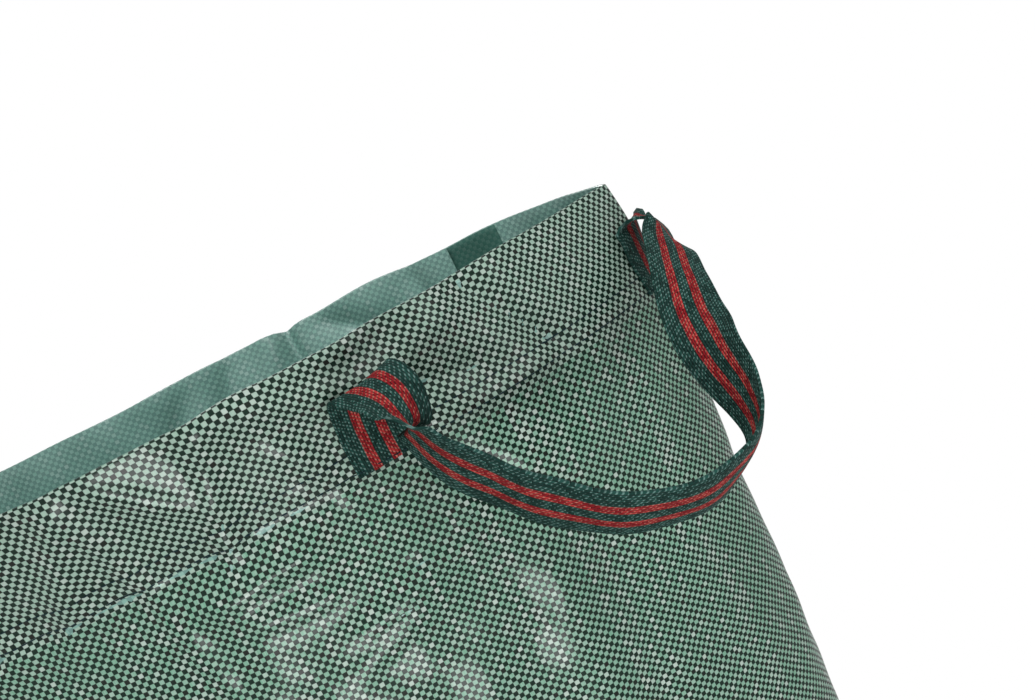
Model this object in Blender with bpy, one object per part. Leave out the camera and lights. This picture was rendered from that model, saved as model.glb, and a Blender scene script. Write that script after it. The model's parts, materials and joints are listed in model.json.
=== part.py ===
"""Garden waste bag: a round-bottomed sack of woven tape with an open, folded-flat mouth, two webbing
carrying handles sewn at the hem and one webbing tipping handle low on the back. Metres, +Z up, and the
origin is the middle of the bottom, on the ground."""

import math
from bisect import bisect_right
from functools import lru_cache

import bmesh
import bpy
from mathutils import Vector

# Overall sizes of the bag
BAG_HEIGHT = 0.760
BOTTOM_DIAMETER = 0.450

# The sheet, and the gap that touching pieces keep
SHEET = 0.0012
SEAT_GAP = 0.0003

# The wall's cross-section at the hem, and the front's reach and sharpness at the rim, where the hem flares
HEM_BOW = 0.127
HEM_SHARPNESS = 1.37
RIM_BOW = 0.151
RIM_SHARPNESS = 2.1
FLATTENING_REACH = 3.4

# The back buckles inwards near the top, to the left of its middle
BACK_SHARPNESS = 1.08
BACK_BUCKLE = 0.66
BACK_BUCKLE_PLACE = -0.38
BACK_BUCKLE_SPREAD = 0.93

# The two corners are pressed flat
CORNER_FACE_TURN = math.radians(27.0)
CORNER_FACE_DEPTH = 0.0035
CORNER_FACE_FADE = 0.20
CORNER_FACE_SOFTNESS = 0.004

# The hem is the top of the sheet, turned in and stitched down along its edge
HEM_DEPTH = 0.065
STITCH_ROW_SPACING = 0.0106

# The bottom disc and its seam
BOTTOM_TUCK = 0.004
BOTTOM_TUCK_HEIGHT = 0.030
SEAM_ALLOWANCE = 0.012
SEAM_ALLOWANCE_THICKNESS = 0.0024

# The side seam: both edges of the sheet, folded together, inside the back wall
SIDE_SEAM_FROM_CORNER = 0.129
SIDE_SEAM_WIDTH = 0.030
SIDE_SEAM_THICKNESS = 0.0012
SIDE_SEAM_STEP = 0.012

# The webbing
WEBBING_WIDTH = 0.032
WEBBING_THICKNESS = 0.0016
WEBBING_EDGE = 0.0005

# A carrying handle: where its ends are sewn, how they rise from the hem, and the free loop
HANDLE_END_FROM_CORNER = 0.011
BACK_HANDLE_END_FROM_CORNER = 0.070
HANDLE_SPACING = 0.187
HANDLE_RISE = 0.045
HANDLE_STANDOFF = 0.0105
HANDLE_REACH = 0.101
HANDLE_HANG = 0.108

# Where a free loop starts: the hinge line above its folds, and how far out of that line
HINGE_GAP = 0.0013
LOOP_START_OUT = 0.0022

# The tipping handle: an arch of webbing whose ends are sewn flat on the wall
TIPPING_HANDLE_HEIGHT = 0.085
TIPPING_HANDLE_SPACING = 0.170
TIPPING_HANDLE_FLAT = 0.022
TIPPING_HANDLE_RISE = 0.038
TIPPING_HANDLE_STANDOFF = 0.007
TIPPING_HANDLE_HANG = 0.045
TIPPING_HANDLE_REACH = 0.044

# How finely the wall and the webbing are divided
AROUND = 88
CURVE_SAMPLES = 240
WEBBING_STEPS = 44
SEWN_END_ROWS = 10

GIRTH = math.pi * BOTTOM_DIAMETER
STATION_SPACING = GIRTH / AROUND
BOTTOM_RADIUS = BOTTOM_DIAMETER / 2
HEM_HEIGHT = BAG_HEIGHT - HEM_DEPTH
UP = Vector((0.0, 0.0, 1.0))

GREEN_SHEET = ("woven_green_sheet", (0.10, 0.24, 0.17), 0.42)
GREEN_INSIDE = ("woven_green_inside", (0.12, 0.26, 0.19), 0.35)
GREEN_WEBBING = ("dark_green_webbing", (0.02, 0.09, 0.075), 0.85)


def clear_scene():
    for old in list(bpy.data.objects):
        bpy.data.objects.remove(old, do_unlink=True)


def finish_material(name, colour, roughness):
    material = bpy.data.materials.get(name) or bpy.data.materials.new(name)
    material.use_nodes = True
    shader = material.node_tree.nodes["Principled BSDF"]
    shader.inputs["Base Color"].default_value = (*colour, 1.0)
    shader.inputs["Roughness"].default_value = roughness
    shader.inputs["Metallic"].default_value = 0.0
    return material


def add_object(name, mesh_builder, finish, origin=Vector()):
    """Turn a bmesh into a named object whose own origin lies at the given place."""
    bmesh.ops.recalc_face_normals(mesh_builder, faces=mesh_builder.faces)
    bmesh.ops.translate(mesh_builder, vec=-origin, verts=mesh_builder.verts)
    mesh = bpy.data.meshes.new(name)
    mesh_builder.to_mesh(mesh)
    mesh_builder.free()
    mesh.shade_smooth()
    mesh.set_sharp_from_angle(angle=math.radians(40.0))
    thing = bpy.data.objects.new(name, mesh)
    thing.location = origin
    thing.data.materials.append(finish_material(*finish))
    bpy.context.collection.objects.link(thing)
    return thing


def held_to(limit, reach, softness):
    """How far a point that reaches past a limit is pushed back, eased over the softness."""
    over = reach - limit
    if over <= -softness:
        return 0.0
    if over >= softness:
        return over
    return (over + softness) ** 2 / (4.0 * softness)


def half_outline(half_length, depth, sharpness, buckle, face_limit, side):
    """One half of the wall's outline, corner to corner: side is -1 for the front and 1 for the back."""
    corner_out = Vector((math.cos(CORNER_FACE_TURN), -math.sin(CORNER_FACE_TURN)))
    outline = []
    for index in range(CURVE_SAMPLES + 1):
        turn = math.pi * index / CURVE_SAMPLES
        across = math.cos(turn) * (1.0 if side < 0 else -1.0)
        swell = max(math.sin(turn), 0.0)
        dip = buckle * swell**2
        dip *= math.exp(-(((across - BACK_BUCKLE_PLACE) / BACK_BUCKLE_SPREAD) ** 2))
        point = Vector((half_length * across, side * depth * swell**sharpness * (1.0 - dip)))
        for out in (corner_out, -corner_out):
            point -= out * held_to(face_limit, point.dot(out), CORNER_FACE_SOFTNESS)
        outline.append(point)
    return outline


def outline_length(outline):
    return sum((b - a).length for a, b in zip(outline, outline[1:]))


def solve_rising(low, high, measure, target):
    """The value between low and high at which a rising measure meets its target."""
    for _ in range(36):
        middle = (low + high) / 2
        if measure(middle) > target:
            high = middle
        else:
            low = middle
    return (low + high) / 2


@lru_cache(maxsize=None)
def wall_outline(height):
    """The closed outline of the wall's outer face at one height, and the length of its front half."""
    rise = height / HEM_HEIGHT
    flare = 0.0
    if height > HEM_HEIGHT:
        rise = 1.0
        flare = (height - HEM_HEIGHT) / HEM_DEPTH
    blend = 1.0 - (1.0 - rise) ** FLATTENING_REACH
    bow = BOTTOM_RADIUS + (HEM_BOW - BOTTOM_RADIUS) * blend + (RIM_BOW - HEM_BOW) * flare
    sharpness = 1.0 + (HEM_SHARPNESS - 1.0) * rise**2 + (RIM_SHARPNESS - HEM_SHARPNESS) * flare
    back_sharpness = 1.0 + (BACK_SHARPNESS - 1.0) * rise
    buckle = BACK_BUCKLE * rise**3
    fade = CORNER_FACE_FADE * max(HEM_HEIGHT - height, 0.0)

    def face_limit(half_length):
        return half_length * math.cos(CORNER_FACE_TURN) - CORNER_FACE_DEPTH + fade + CORNER_FACE_SOFTNESS

    def front(half_length):
        limit = face_limit(half_length)
        return half_outline(half_length, bow, sharpness, 0.0, limit, -1.0)

    half_length = solve_rising(
        GIRTH / 10, GIRTH / 3, lambda value: outline_length(front(value)), GIRTH / 2
    )
    limit = face_limit(half_length)

    def back(depth):
        return half_outline(half_length, depth, back_sharpness, buckle, limit, 1.0)

    depth = solve_rising(
        0.0, BOTTOM_DIAMETER, lambda value: outline_length(back(value)), GIRTH / 2
    )
    tuck = max(1.0 - height / BOTTOM_TUCK_HEIGHT, 0.0) ** 2 * BOTTOM_TUCK
    scale = 1.0 - tuck / BOTTOM_RADIUS
    front_half = [point * scale for point in front(half_length)]
    back_half = [point * scale for point in back(depth)]
    return front_half + back_half[1:], outline_length(front_half)


def heights_between(low, high, count):
    return [low + (high - low) * index / count for index in range(count + 1)]


def ring_heights():
    """The heights of the wall's rings: close together at the foot and the hem, wide apart between."""
    foot = heights_between(0.0, BOTTOM_TUCK_HEIGHT, 3)
    side = heights_between(BOTTOM_TUCK_HEIGHT, HEM_HEIGHT, 10)
    hem = heights_between(HEM_HEIGHT, BAG_HEIGHT, 3)
    return foot + side[1:] + hem[1:]


def point_along(outline, distances, distance):
    distance = min(max(distance, 0.0), distances[-1])
    index = min(max(bisect_right(distances, distance) - 1, 0), len(outline) - 2)
    share = (distance - distances[index]) / (distances[index + 1] - distances[index])
    return outline[index].lerp(outline[index + 1], share)


@lru_cache(maxsize=None)
def wall_ring(height):
    """One ring of the wall's outer face: its points, and the outward steps that keep an offset parallel.
    As many stations go round the front as round the back, from the right corner on."""
    outline, front = wall_outline(height)
    distances = [0.0]
    for a, b in zip(outline, outline[1:]):
        distances.append(distances[-1] + (b - a).length)
    back = distances[-1] - front
    half = AROUND // 2
    stations = [front * index / half for index in range(half)]
    stations += [front + back * index / half for index in range(half)]
    flat = [point_along(outline, distances, station) for station in stations]
    outs = []
    for index, point in enumerate(flat):
        before = (point - flat[index - 1]).normalized()
        after = (flat[(index + 1) % AROUND] - point).normalized()
        middle = (before + after) / (1.0 + before.dot(after))
        outs.append(Vector((-middle.y, middle.x, 0.0)))
    points = [Vector((point.x, point.y, height)) for point in flat]
    return points, outs


def rings_round(height):
    """The wall's rings below and above a height, and how far up between them it lies."""
    heights = ring_heights()
    index = min(max(bisect_right(heights, height) - 1, 0), len(heights) - 2)
    share = (height - heights[index]) / (heights[index + 1] - heights[index])
    return wall_ring(heights[index]), wall_ring(heights[index + 1]), share


def wall_point(station, height, outward):
    """A point off the wall's outer face, at any station and height. Each cell of the wall is two
    triangles, split from its low corner at one station to its high corner at the next."""
    low, high, up = rings_round(height)
    here = math.floor(station)
    along = station - here
    here %= AROUND
    there = (here + 1) % AROUND
    place = Vector()
    for kind, amount in ((0, 1.0), (1, outward)):
        place += low[kind][here] * ((1.0 - max(along, up)) * amount)
        place += high[kind][there] * (min(along, up) * amount)
        if along > up:
            place += low[kind][there] * ((along - up) * amount)
        else:
            place += high[kind][here] * ((up - along) * amount)
    return place


def ring_points(height, outward):
    """A whole ring at any height, in line with the wall's own stations."""
    return [wall_point(station, height, outward) for station in range(AROUND)]


def skin(builder, low, high):
    """Two triangles in each cell between two rows of points, split the same way as the wall's own."""
    for index in range(len(low) - 1):
        builder.faces.new((low[index], low[index + 1], high[index + 1]))
        builder.faces.new((low[index], high[index + 1], high[index]))


def skins(builder, rows, closed):
    for low, high in zip(rows, rows[1:]):
        if closed:
            skin(builder, low + low[:1], high + high[:1])
        else:
            skin(builder, low, high)


def sleeve(name, heights, outer, inner, finish):
    """A closed sleeve that follows the wall, between two depths behind its outer face."""
    builder = bmesh.new()
    outside = [[builder.verts.new(p) for p in ring_points(z, -outer)] for z in heights]
    inside = [[builder.verts.new(p) for p in ring_points(z, -inner)] for z in heights]
    skins(builder, outside, True)
    skins(builder, inside, True)
    for end in (0, -1):
        skins(builder, [outside[end], inside[end]], True)
    return add_object(name, builder, finish)


def patch(name, outer_rows, inner_rows, finish):
    """A closed piece between two open grids of points."""
    builder = bmesh.new()
    outside = [[builder.verts.new(p) for p in row] for row in outer_rows]
    inside = [[builder.verts.new(p) for p in row] for row in inner_rows]
    skins(builder, outside, False)
    skins(builder, inside, False)
    for end in (0, -1):
        skin(builder, outside[end], inside[end])
        skin(builder, [row[end] for row in outside], [row[end] for row in inside])
    return add_object(name, builder, finish)


def make_wall():
    sleeve("bag_wall", ring_heights(), 0.0, SHEET, GREEN_SHEET)


def make_hem():
    outer = SHEET + SEAT_GAP
    heights = [height for height in ring_heights() if height >= HEM_HEIGHT]
    sleeve("top_hem", heights, outer, outer + SHEET, GREEN_INSIDE)


def make_bottom():
    """The round bottom, and the seam allowance that stands up inside the wall's foot."""
    inside = SHEET + SEAT_GAP
    builder = bmesh.new()
    low = [builder.verts.new(p) for p in ring_points(0.0, -inside)]
    high = [builder.verts.new(p) for p in ring_points(SHEET, -inside)]
    builder.faces.new(low[::-1])
    builder.faces.new(high)
    for index in range(AROUND):
        after = (index + 1) % AROUND
        builder.faces.new((low[index], low[after], high[after], high[index]))
    add_object("bag_bottom", builder, GREEN_SHEET)
    start = SHEET + SEAT_GAP
    end = start + SEAM_ALLOWANCE
    heights = [start] + [height for height in ring_heights() if start < height < end] + [end]
    sleeve("bottom_seam", heights, inside, inside + SEAM_ALLOWANCE_THICKNESS, GREEN_INSIDE)


def make_side_seam():
    """The strip of folded sheet edges that runs up inside the back wall and over the hem. Its columns are
    the wall's own stations, so it lies flat against the sheet."""
    one_layer = SHEET + SEAT_GAP
    two_layers = 2 * (SHEET + SEAT_GAP)
    foot = SHEET + 2 * SEAT_GAP + SEAM_ALLOWANCE
    step_low = HEM_HEIGHT - SEAT_GAP - SIDE_SEAM_STEP
    step_high = HEM_HEIGHT - SEAT_GAP
    heights = [foot]
    heights += [height for height in ring_heights() if foot < height < step_low]
    heights += [step_low, step_high]
    heights += [height for height in ring_heights() if step_high < height < BAG_HEIGHT]
    heights += [BAG_HEIGHT - SEAT_GAP]
    columns = max(round(SIDE_SEAM_WIDTH / STATION_SPACING), 1)
    first = AROUND - round(SIDE_SEAM_FROM_CORNER / STATION_SPACING) - columns // 2
    stations = slice(first, first + columns + 1)
    outside = []
    inside = []
    for height in heights:
        depth = one_layer if height <= step_low else two_layers
        outside.append(ring_points(height, -depth)[stations])
        inside.append(ring_points(height, -depth - SIDE_SEAM_THICKNESS)[stations])
    patch("side_seam", outside, inside, GREEN_INSIDE)


def smooth_between(points, share):
    """A Catmull-Rom curve through the points, evenly spread over shares from 0 to 1."""
    spans = len(points) - 1
    place = min(max(share, 0.0), 1.0) * spans
    index = min(int(place), spans - 1)
    t = place - index
    before = points[index - 1] if index > 0 else points[0] * 2 - points[1]
    start = points[index]
    end = points[index + 1]
    after = points[index + 2] if index + 2 <= spans else points[-1] * 2 - points[-2]
    curve = start * 2 + (end - before) * t
    curve += (before * 2 - start * 5 + end * 4 - after) * t**2
    curve += (start * 3 - end * 3 + after - before) * t**3
    return curve / 2


def webbing(name, centres, widths, steps, origin=Vector()):
    """A strap of webbing along a smooth route, its width turning with the given directions."""
    half_width = WEBBING_WIDTH / 2
    half_thick = WEBBING_THICKNESS / 2
    section = (
        (-half_width, -WEBBING_EDGE / 2),
        (-half_width + WEBBING_EDGE, -half_thick),
        (half_width - WEBBING_EDGE, -half_thick),
        (half_width, -WEBBING_EDGE / 2),
        (half_width, WEBBING_EDGE / 2),
        (half_width - WEBBING_EDGE, half_thick),
        (-half_width + WEBBING_EDGE, half_thick),
        (-half_width, WEBBING_EDGE / 2),
    )
    route = [smooth_between(centres, index / steps) for index in range(steps + 1)]
    builder = bmesh.new()
    loops = []
    for index, centre in enumerate(route):
        ahead = route[min(index + 1, steps)]
        behind = route[max(index - 1, 0)]
        along = (ahead - behind).normalized()
        across = smooth_between(widths, index / steps)
        across = (across - along * across.dot(along)).normalized()
        face = across.cross(along).normalized()
        loops.append([builder.verts.new(centre + across * a + face * b) for a, b in section])
    for loop, following in zip(loops, loops[1:]):
        for index in range(len(loop)):
            after = (index + 1) % len(loop)
            builder.faces.new((loop[index], loop[after], following[after], following[index]))
    builder.faces.new(loops[0][::-1])
    builder.faces.new(loops[-1])
    return add_object(name, builder, GREEN_WEBBING, origin)


def handle_line(left_station, right_station, height):
    """Both ends of a handle on the wall's face at one height, the way from left to right, and the way out."""
    left = wall_point(left_station, height, SEAT_GAP + WEBBING_THICKNESS / 2)
    right = wall_point(right_station, height, SEAT_GAP + WEBBING_THICKNESS / 2)
    along = (right - left).normalized()
    return left, right, along, Vector((along.y, -along.x, 0.0))


def sewn_end(name, station, foot, flat, rise, standoff, along, outward):
    """A webbing end: flat on the wall where it is sewn, then leaning out and turning into line with its
    fold, which stands off the wall. Its inner columns are the wall's own stations."""
    half_width = WEBBING_WIDTH / 2
    half_thick = WEBBING_THICKNESS / 2
    flat_width = half_width - WEBBING_EDGE
    first = math.ceil(station - flat_width / STATION_SPACING)
    last = math.floor(station + flat_width / STATION_SPACING)
    offsets = [-half_width, -flat_width]
    offsets += [(column - station) * STATION_SPACING for column in range(first, last + 1)]
    offsets += [flat_width, half_width]
    middle = SEAT_GAP + half_thick
    outside = []
    inside = []
    for height in heights_between(foot, foot + rise, SEWN_END_ROWS):
        free = max(height - foot - flat, 0.0) / (rise - flat)
        lift = outward * (standoff * free**1.6)
        centre = wall_point(station, height, middle) + lift
        for side, rows in ((1.0, outside), (-1.0, inside)):
            row = []
            for offset in offsets:
                bevel = WEBBING_EDGE if abs(offset) == half_width else 0.0
                step = side * (half_thick - bevel)
                wrapped = wall_point(station + offset / STATION_SPACING, height, middle + step) + lift
                straight = centre + outward * step - along * offset
                row.append(wrapped.lerp(straight, free**1.5))
            rows.append(row)
    patch(name, outside, inside, GREEN_WEBBING)


def hanging_loop(name, left, along, outward, chord, reach, hang, stops):
    """The free part of a handle, hinged on the line through its folds. Each stop of its route holds shares
    of the chord, of the reach and of the hang, then the way of the webbing's width: along, out and up."""
    centres = []
    widths = []
    for share, out_share, hang_share, width_along, width_out, width_up in stops:
        out = LOOP_START_OUT + (reach - LOOP_START_OUT) * out_share
        centres.append(left + along * (share * chord) + outward * out - UP * (hang * hang_share))
        widths.append((along * width_along + outward * width_out + UP * width_up).normalized())
    webbing(name, centres, widths, WEBBING_STEPS, left)


def make_handle(name, right_station, spacing, foot, flat, rise, standoff, reach, hang, stops):
    """Two sewn ends and the loop that hangs between their folds."""
    left_station = right_station + spacing / STATION_SPACING
    left, right, along, outward = handle_line(left_station, right_station, foot + rise)
    for end, station in (("left", left_station), ("right", right_station)):
        sewn_end(f"{name}_end_{end}", station, foot, flat, rise, standoff, along, outward)
    hinge = left + outward * standoff + UP * HINGE_GAP
    hanging_loop(
        f"{name}_loop", hinge, along, outward, (right - left).length, reach, hang, stops
    )


CARRYING_LOOP = (
    (0.000, 0.00, 0.00, 1.00, 0.00, 0.00),
    (0.005, 0.10, 0.02, 1.00, -0.10, 0.00),
    (0.025, 0.19, 0.13, 0.80, -0.55, -0.15),
    (0.050, 0.28, 0.33, 0.30, -0.75, -0.50),
    (0.090, 0.43, 0.54, 0.05, -0.62, -0.78),
    (0.160, 0.63, 0.75, 0.00, -0.64, -0.77),
    (0.270, 0.83, 0.91, 0.00, -0.70, -0.70),
    (0.420, 0.96, 1.00, 0.05, -0.70, -0.70),
    (0.560, 1.00, 0.96, 0.05, -0.70, -0.70),
    (0.660, 0.98, 0.88, 0.00, -0.72, -0.69),
    (0.715, 0.88, 0.77, -0.30, -0.75, -0.58),
    (0.775, 0.70, 0.61, -0.70, -0.65, -0.30),
    (0.870, 0.47, 0.40, -0.93, -0.35, -0.10),
    (0.950, 0.27, 0.20, -0.97, -0.20, -0.05),
    (0.990, 0.13, 0.06, -1.00, -0.08, 0.00),
    (1.000, 0.00, 0.00, -1.00, 0.00, 0.00),
)


def make_carrying_handle(name, corner_station, end_from_corner):
    """A handle's right end is sewn near a corner, and its left end further round the same wall."""
    right_station = corner_station + end_from_corner / STATION_SPACING
    make_handle(
        name, right_station, HANDLE_SPACING, HEM_HEIGHT, STITCH_ROW_SPACING, HANDLE_RISE,
        HANDLE_STANDOFF, HANDLE_REACH, HANDLE_HANG, CARRYING_LOOP,
    )


def make_tipping_handle():
    """A plain arch on the middle of the back that hangs clear of the wall's slope, its face turned out."""
    spans = 8
    stops = []
    for index in range(spans + 1):
        turn = math.pi * index / spans
        sag = math.sin(turn)
        share = (1.0 - math.cos(turn)) / 2
        stops.append((share, sag, max(sag, 0.0) ** 1.2, math.cos(turn), 0.0, -(sag**2)))
    back_middle = AROUND * 3 / 4
    right_station = back_middle - TIPPING_HANDLE_SPACING / 2 / STATION_SPACING
    make_handle(
        "tipping_handle", right_station, TIPPING_HANDLE_SPACING, TIPPING_HANDLE_HEIGHT,
        TIPPING_HANDLE_FLAT, TIPPING_HANDLE_RISE, TIPPING_HANDLE_STANDOFF, TIPPING_HANDLE_REACH,
        TIPPING_HANDLE_HANG, stops,
    )


clear_scene()
make_wall()
make_hem()
make_bottom()
make_side_seam()
make_carrying_handle("front_handle", 0, HANDLE_END_FROM_CORNER)
make_carrying_handle("back_handle", AROUND // 2, BACK_HANDLE_END_FROM_CORNER)
make_tipping_handle()
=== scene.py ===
"""The looks of a garden waste bag: a sack of glossy woven tape with a hemmed mouth and striped webbing
handles. Metres, +Z up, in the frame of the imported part."""

import json
import math

import bmesh
import bpy
import numpy as np
from mathutils import Matrix, Vector


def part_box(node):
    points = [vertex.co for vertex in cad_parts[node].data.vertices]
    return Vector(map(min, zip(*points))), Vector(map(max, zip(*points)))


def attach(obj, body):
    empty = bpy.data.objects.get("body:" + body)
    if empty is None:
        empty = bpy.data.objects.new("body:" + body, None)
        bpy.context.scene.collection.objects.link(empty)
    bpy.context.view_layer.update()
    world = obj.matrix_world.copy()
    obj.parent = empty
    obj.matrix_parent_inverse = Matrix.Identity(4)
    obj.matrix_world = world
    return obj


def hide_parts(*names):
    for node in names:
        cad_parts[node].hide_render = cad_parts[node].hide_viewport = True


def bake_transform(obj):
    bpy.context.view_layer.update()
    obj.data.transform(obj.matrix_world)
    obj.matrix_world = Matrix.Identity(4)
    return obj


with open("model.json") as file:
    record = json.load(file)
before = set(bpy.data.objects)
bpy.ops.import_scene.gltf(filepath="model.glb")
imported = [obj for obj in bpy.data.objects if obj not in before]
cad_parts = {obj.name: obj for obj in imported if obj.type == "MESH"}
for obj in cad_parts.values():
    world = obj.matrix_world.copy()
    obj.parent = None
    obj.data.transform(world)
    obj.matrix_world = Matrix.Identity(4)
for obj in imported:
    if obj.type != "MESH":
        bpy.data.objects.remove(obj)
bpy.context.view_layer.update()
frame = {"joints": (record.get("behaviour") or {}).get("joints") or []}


# The woven sheet
# The bag is sewn from one sheet of flat polypropylene tapes, pale ones up and dark ones round, woven
# plain and coated with a clear film. Outside the tapes show; inside the film is thicker and satin.
TAPE_UP = 0.0025
TAPE_ROUND = 0.00238
SHEET = 0.0007
HEM_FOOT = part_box("top_hem")[0].z
HEM_SPARE = 0.003
HEM_EDGE = HEM_FOOT - HEM_SPARE
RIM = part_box("bag_wall")[1].z


class Wire:
    """One output of a node. Arithmetic on it adds Math nodes to the same tree."""

    def __init__(self, nodes, socket):
        self.nodes = nodes
        self.socket = socket

    def maths(self, operation, *others):
        return self.nodes.node("Math", {"operation": operation}, dict(enumerate((self, *others))))

    def __add__(self, other):
        return self.maths("ADD", other)

    def __sub__(self, other):
        return self.maths("SUBTRACT", other)

    def __rsub__(self, other):
        return self.nodes.node("Math", {"operation": "SUBTRACT"}, {0: other, 1: self})

    def __mul__(self, other):
        return self.maths("MULTIPLY", other)

    def __truediv__(self, other):
        return self.maths("DIVIDE", other)

    def __pow__(self, other):
        return self.maths("POWER", other)

    def __mod__(self, other):
        return self.maths("MODULO", other)

    def __lt__(self, other):
        return self.maths("LESS_THAN", other)

    def __gt__(self, other):
        return self.maths("GREATER_THAN", other)

    def __abs__(self):
        return self.maths("ABSOLUTE")

    def floor(self):
        return self.maths("FLOOR")

    def larger(self, other):
        return self.maths("MAXIMUM", other)

    def smaller(self, other):
        return self.maths("MINIMUM", other)

    def eased(self, low, high):
        """0 at low and 1 at high, smooth between, also where low is the larger."""
        sockets = {"Value": self, "From Min": low, "From Max": high}
        return self.nodes.node("MapRange", {"interpolation_type": "SMOOTHSTEP"}, sockets)

    __radd__ = __add__
    __rmul__ = __mul__


class Nodes:
    """The nodes of one material or world, and the way in which more are added."""

    def __init__(self, tree):
        self.tree = tree

    def node(self, kind, settings=None, sockets=None, output=0):
        made = self.tree.nodes.new("ShaderNode" + kind)
        for name, value in (settings or {}).items():
            setattr(made, name, value)
        for name, value in (sockets or {}).items():
            self.feed(made.inputs[name], value)
        return Wire(self, made.outputs[output])

    def feed(self, socket, value):
        if isinstance(value, Wire):
            self.tree.links.new(value.socket, socket)
        elif socket.type == "RGBA" and len(value) == 3:
            socket.default_value = (*value, 1.0)
        else:
            socket.default_value = value


class Finish(Nodes):
    """A material, its shader's sockets, and the patterns that the finishes share."""

    def __init__(self, name, **sockets):
        self.material = bpy.data.materials.new(name)
        self.material.use_nodes = True
        super().__init__(self.material.node_tree)
        self.shader = self.tree.nodes["Principled BSDF"]
        self.set(**sockets)

    def set(self, **sockets):
        for name, value in sockets.items():
            self.feed(self.shader.inputs[name.replace("_", " ").title().replace("Ior", "IOR")], value)

    def cloth(self):
        """How far a place on the cloth lies round it and up it, in metres."""
        place = self.node("UVMap", {"uv_map": "cloth"})
        return [self.node("SeparateXYZ", sockets={0: place}, output=axis) for axis in (0, 1)]

    def joined(self, x, y):
        return self.node("CombineXYZ", sockets={0: x, 1: y})

    def noise(self, place, scale=1.0, detail=2.0):
        return self.node("TexNoise", sockets={"Vector": place, "Scale": scale, "Detail": detail})

    def chance(self, x, y):
        """A steady random number from 0 to 1 for each pair of whole numbers."""
        return self.node("TexWhiteNoise", {"noise_dimensions": "2D"}, {"Vector": self.joined(x, y)})

    def mix(self, share, first, second):
        """A colour between two colours, which are inputs 6 and 7 of the node and its output 2."""
        return self.node("Mix", {"data_type": "RGBA"}, {0: share, 6: first, 7: second}, output=2)

    def bump(self, height, distance):
        sockets = {"Height": height, "Distance": distance, "Strength": 1.0}
        self.set(normal=self.node("Bump", sockets=sockets))


PALE_TAPE = (0.262, 0.400, 0.320)
PALE_TAPE_GREEN = (0.160, 0.350, 0.245)
PALE_TAPE_GREY = (0.430, 0.510, 0.460)
DARK_TAPE = (0.0030, 0.0135, 0.0085)
DARK_TAPE_BROWN = (0.010, 0.009, 0.008)
FILM_HAZE = (0.060, 0.115, 0.090)
INNER_FILM = (0.185, 0.370, 0.330)
# How fine each noise is, in turns per metre.
STREAKS_ACROSS = 2600.0
STREAKS_ALONG = 60.0
PATCHES = 9.0
SLACK_PLACES = 150.0
# Shares of another colour: the hem's pale tapes, painted paler, partly as painted sheen and partly for
# its two layers; faint streaks and patches; and painted shade where a tape goes under the next one, at
# its ends and along its sides.
HEM_SHEEN_AND_LAYERS = 0.45
FAINT = 0.03
SHADE_AT_ENDS = 0.45
SHADE_AT_SIDES = 0.30
DEEPEST_SHADE = 0.7
# Where a tape's edge starts, in widths from its middle, and how round it is between its edges.
TAPE_EDGE = 0.38
ROUNDNESS = 3.0
# The height of the weave in metres, and what the tapes' lean and the slack places add to its pattern.
WEAVE_HEIGHT = 0.00016
LEAN = 1.3
SLACK = 1.5
ROUGHNESS_SPREAD = 0.12


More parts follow.
